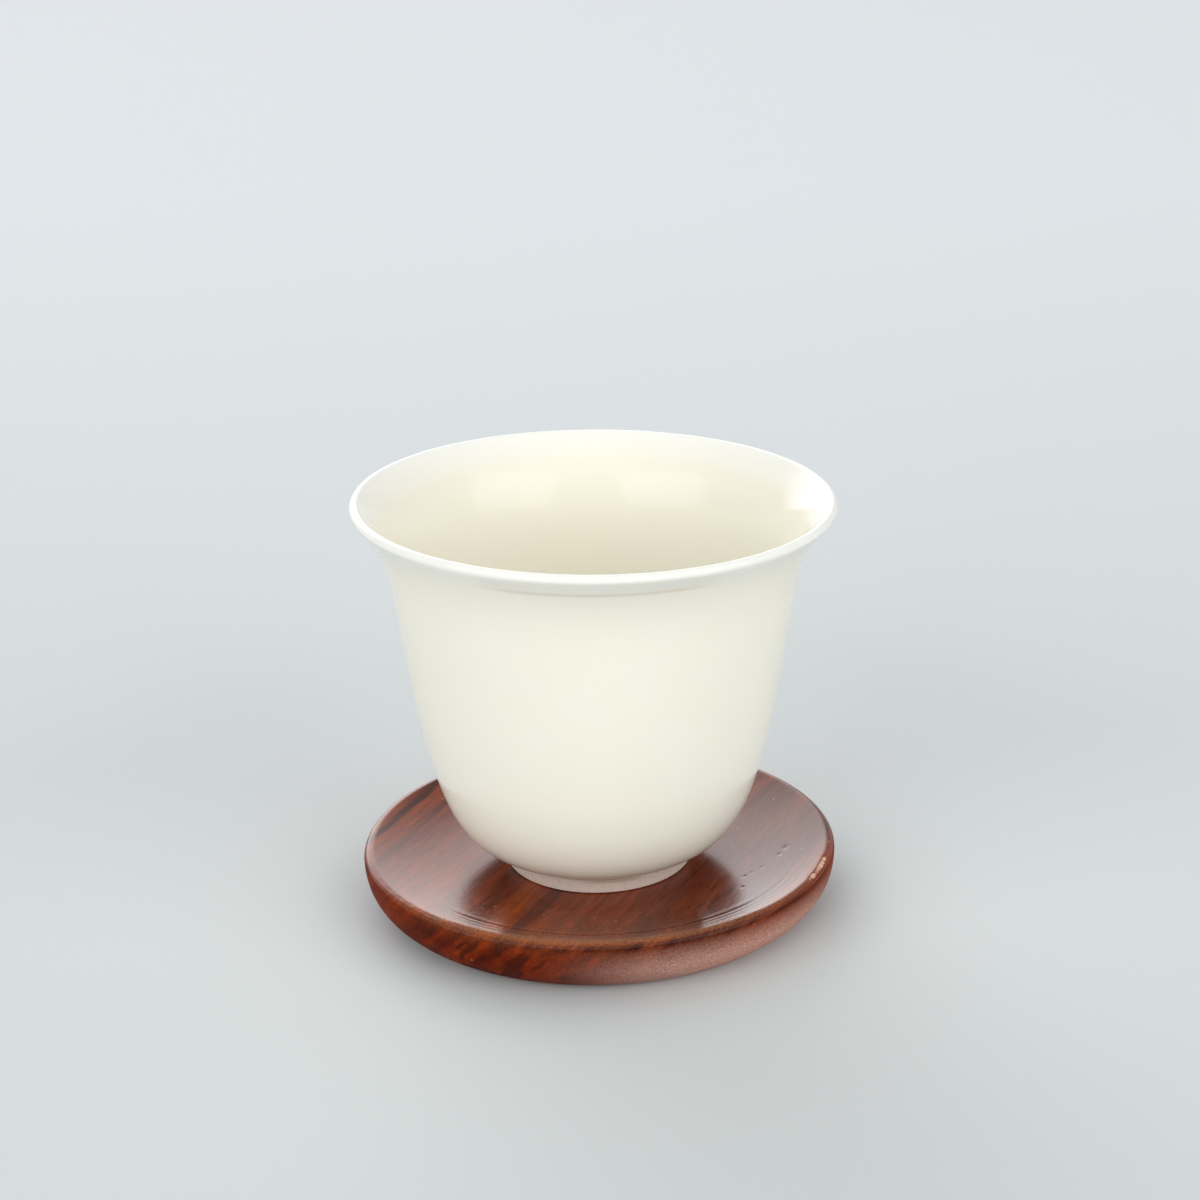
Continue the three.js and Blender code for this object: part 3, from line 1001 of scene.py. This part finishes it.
class TEACUP_OT_saucer(bpy.types.Operator):
    """Turns the rosewood saucer, chips its rim and lacquers it"""

    bl_idname = "tea_cup.saucer"
    bl_label = "Rosewood saucer"

    def execute(self, context):
        size = context.scene.tea_cup_saucer
        look = context.scene.tea_cup_finishes
        section = saucer_outline(size)
        points = turned(section, SAUCER_TURN)
        chips = rim_wear(size, section, SAUCER_TURN)
        pits = floor_pits(size, points)
        relief = tool_marks(size, section, SAUCER_TURN) - size.chip_depth * chips - size.pit_depth * pits
        points = points + turned(outward(section), SAUCER_TURN) * relief[..., None]
        dry = np.broadcast_to(dry_side(section), chips.shape)
        mesh = mesh_of_rings("rosewood_saucer", points)
        mark_vertices(mesh, {
            "chip": chips,
            "pit": pits,
            "dry": dry,
            "end_grain": end_grain(section, SAUCER_TURN),
            "side_sheen": side_sheen_film(size, section, SAUCER_TURN),
            "dark_reflection": rim_band(size, section, SAUCER_TURN, DARK_REFLECTION_BAND),
            "rubbed_and_sheen": rim_band(size, section, SAUCER_TURN, RUBBED_SHEEN_BAND),
        })
        lacquered = rosewood(look, "lacquered_rosewood", look.lacquer_sheen)
        oiled = rosewood(look, "dry_rosewood", look.dry_sheen)
        piece = show(mesh, [lacquered, oiled])
        second_finish(mesh, dry[:, 0] > DRY_FROM, SAUCER_TURN)
        stand_for(piece, "saucer", "saucer")
        return {"FINISHED"}


class TEACUP_OT_cup(bpy.types.Operator):
    """Turns the porcelain cup and glazes all of it but the foot ring's seat"""

    bl_idname = "tea_cup.cup"
    bl_label = "Porcelain cup"

    def execute(self, context):
        size = context.scene.tea_cup_cup
        look = context.scene.tea_cup_finishes
        section = cup_outline(size)
        points = cup_surface(size, section)
        thin = np.clip((section[:, 1:] - size.height + size.thin_band) / size.thin_band, 0, 1)
        mesh = mesh_of_rings("porcelain_cup", points)
        mark_vertices(mesh, {
            "thin_glaze": np.broadcast_to(thin, points.shape[:2]),
            "crease_shade": lip_crease(size, section, CUP_TURN),
            "shade_line": foot_shade_lines(size, section, CUP_TURN),
        })
        piece = show(mesh, [ivory_glaze(look), bare_biscuit(look)])
        second_finish(mesh, section[:, 1] < size.bare_height, CUP_TURN)
        stand_for(piece, "cup", "cup")
        return {"FINISHED"}


class TEACUP_PT_panel(bpy.types.Panel):
    """Lists the builders and the sizes that they use"""

    bl_idname = "TEACUP_PT_panel"
    bl_label = "Gongfu tea cup"
    bl_space_type = "VIEW_3D"
    bl_region_type = "UI"
    bl_category = "Tea Cup"

    def draw(self, context):
        for builder in BUILDERS:
            self.layout.operator(builder.bl_idname)
        for group in GROUPS:
            settings = getattr(context.scene, group)
            for name in settings.bl_rna.properties.keys():
                if name not in ("rna_type", "name"):
                    self.layout.prop(settings, name)


GROUPS = {
    "tea_cup_cup": CupSizes,
    "tea_cup_saucer": SaucerSizes,
    "tea_cup_finishes": Finishes,
    "tea_cup_studio": Studio,
}
BUILDERS = (TEACUP_OT_stage, TEACUP_OT_saucer, TEACUP_OT_cup)
CLASSES = (*GROUPS.values(), *BUILDERS, TEACUP_PT_panel)


def register():
    for kind in CLASSES:
        bpy.utils.register_class(kind)
    for name, kind in GROUPS.items():
        setattr(bpy.types.Scene, name, bpy.props.PointerProperty(type=kind))


def unregister():
    for name in GROUPS:
        delattr(bpy.types.Scene, name)
    for kind in reversed(CLASSES):
        bpy.utils.unregister_class(kind)


def main():
    register()
    bpy.ops.tea_cup.stage()
    bpy.ops.tea_cup.saucer()
    bpy.ops.tea_cup.cup()


if __name__ == "__main__":
    main()
